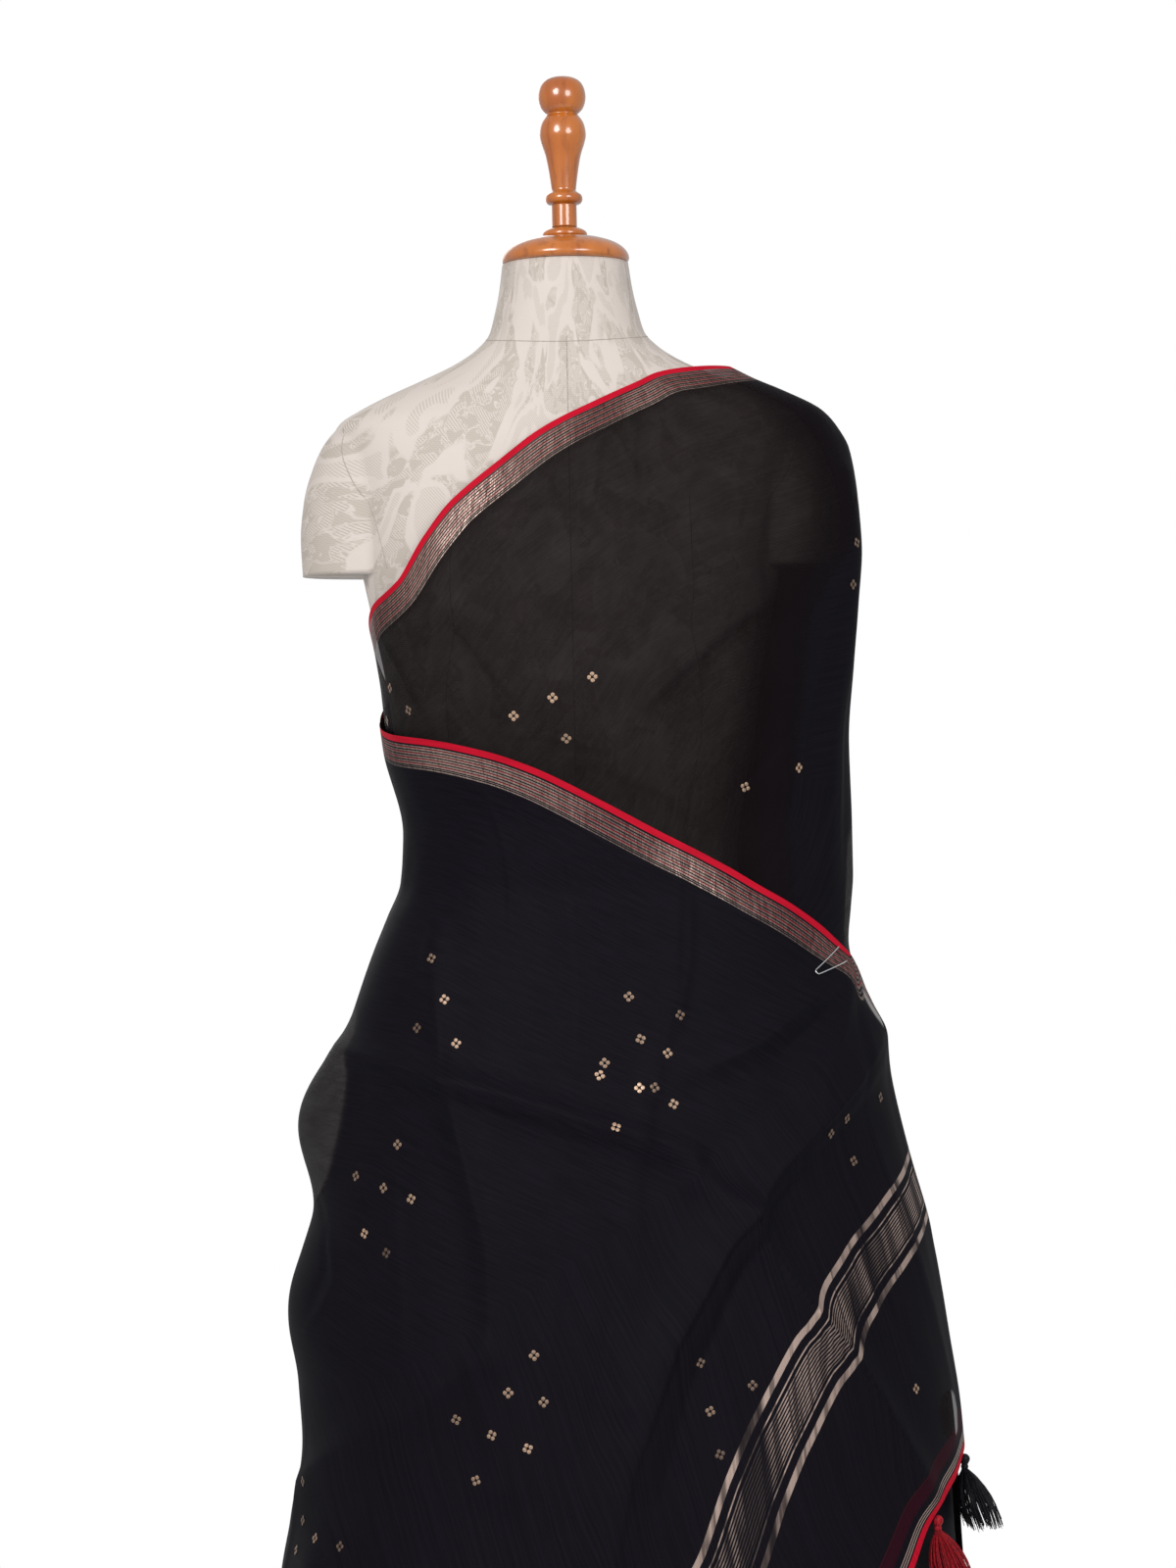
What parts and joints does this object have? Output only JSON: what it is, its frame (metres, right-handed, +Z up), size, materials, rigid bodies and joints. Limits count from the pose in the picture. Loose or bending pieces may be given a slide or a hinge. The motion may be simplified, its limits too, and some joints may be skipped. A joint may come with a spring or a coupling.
{
  "type": "silk saree on a dress form",
  "caption": "Sheer black silk saree with woven borders and a tasselled end, draped over one shoulder of a limbless dress form on a pole and round base.",
  "frame": {"origin": "on the floor, at the centre of the base's underside, under the pole", "axes": "+Z up along the pole, -Y towards the viewer in front, +X to the viewer's right"},
  "size_m": [0.6406, 0.5199, 1.725],
  "materials": {
    "saree_cloth": "sheer black silk with a faint violet sheen",
    "tassel_black": "loose silk thread",
    "tassel_red": "loose silk thread",
    "pin_wire": "bright steel wire",
    "form_cover": "ivory damask",
    "turned_wood": "glossy varnish",
    "pole_steel": "satin",
    "base_wood": "glossy varnish"
  },
  "bodies": {
    "root": {"saree_skirt": "saree_cloth", "saree_chest": "saree_cloth", "saree_back": "saree_cloth", "saree_front": "saree_cloth", "tassel_01": "tassel_black", "tassel_02": "tassel_red", "tassel_03": "tassel_black", "tassel_04": "tassel_red", "tassel_05": "tassel_black", "tassel_06": "tassel_red", "tassel_07": "tassel_black", "tassel_08": "tassel_red", "safety_pin": "pin_wire", "form_torso": "form_cover", "form_neck": "form_cover", "neck_cap": "turned_wood", "finial": "turned_wood", "stand_pole": "pole_steel", "stand_base": "base_wood"}
  },
  "joints": []
}
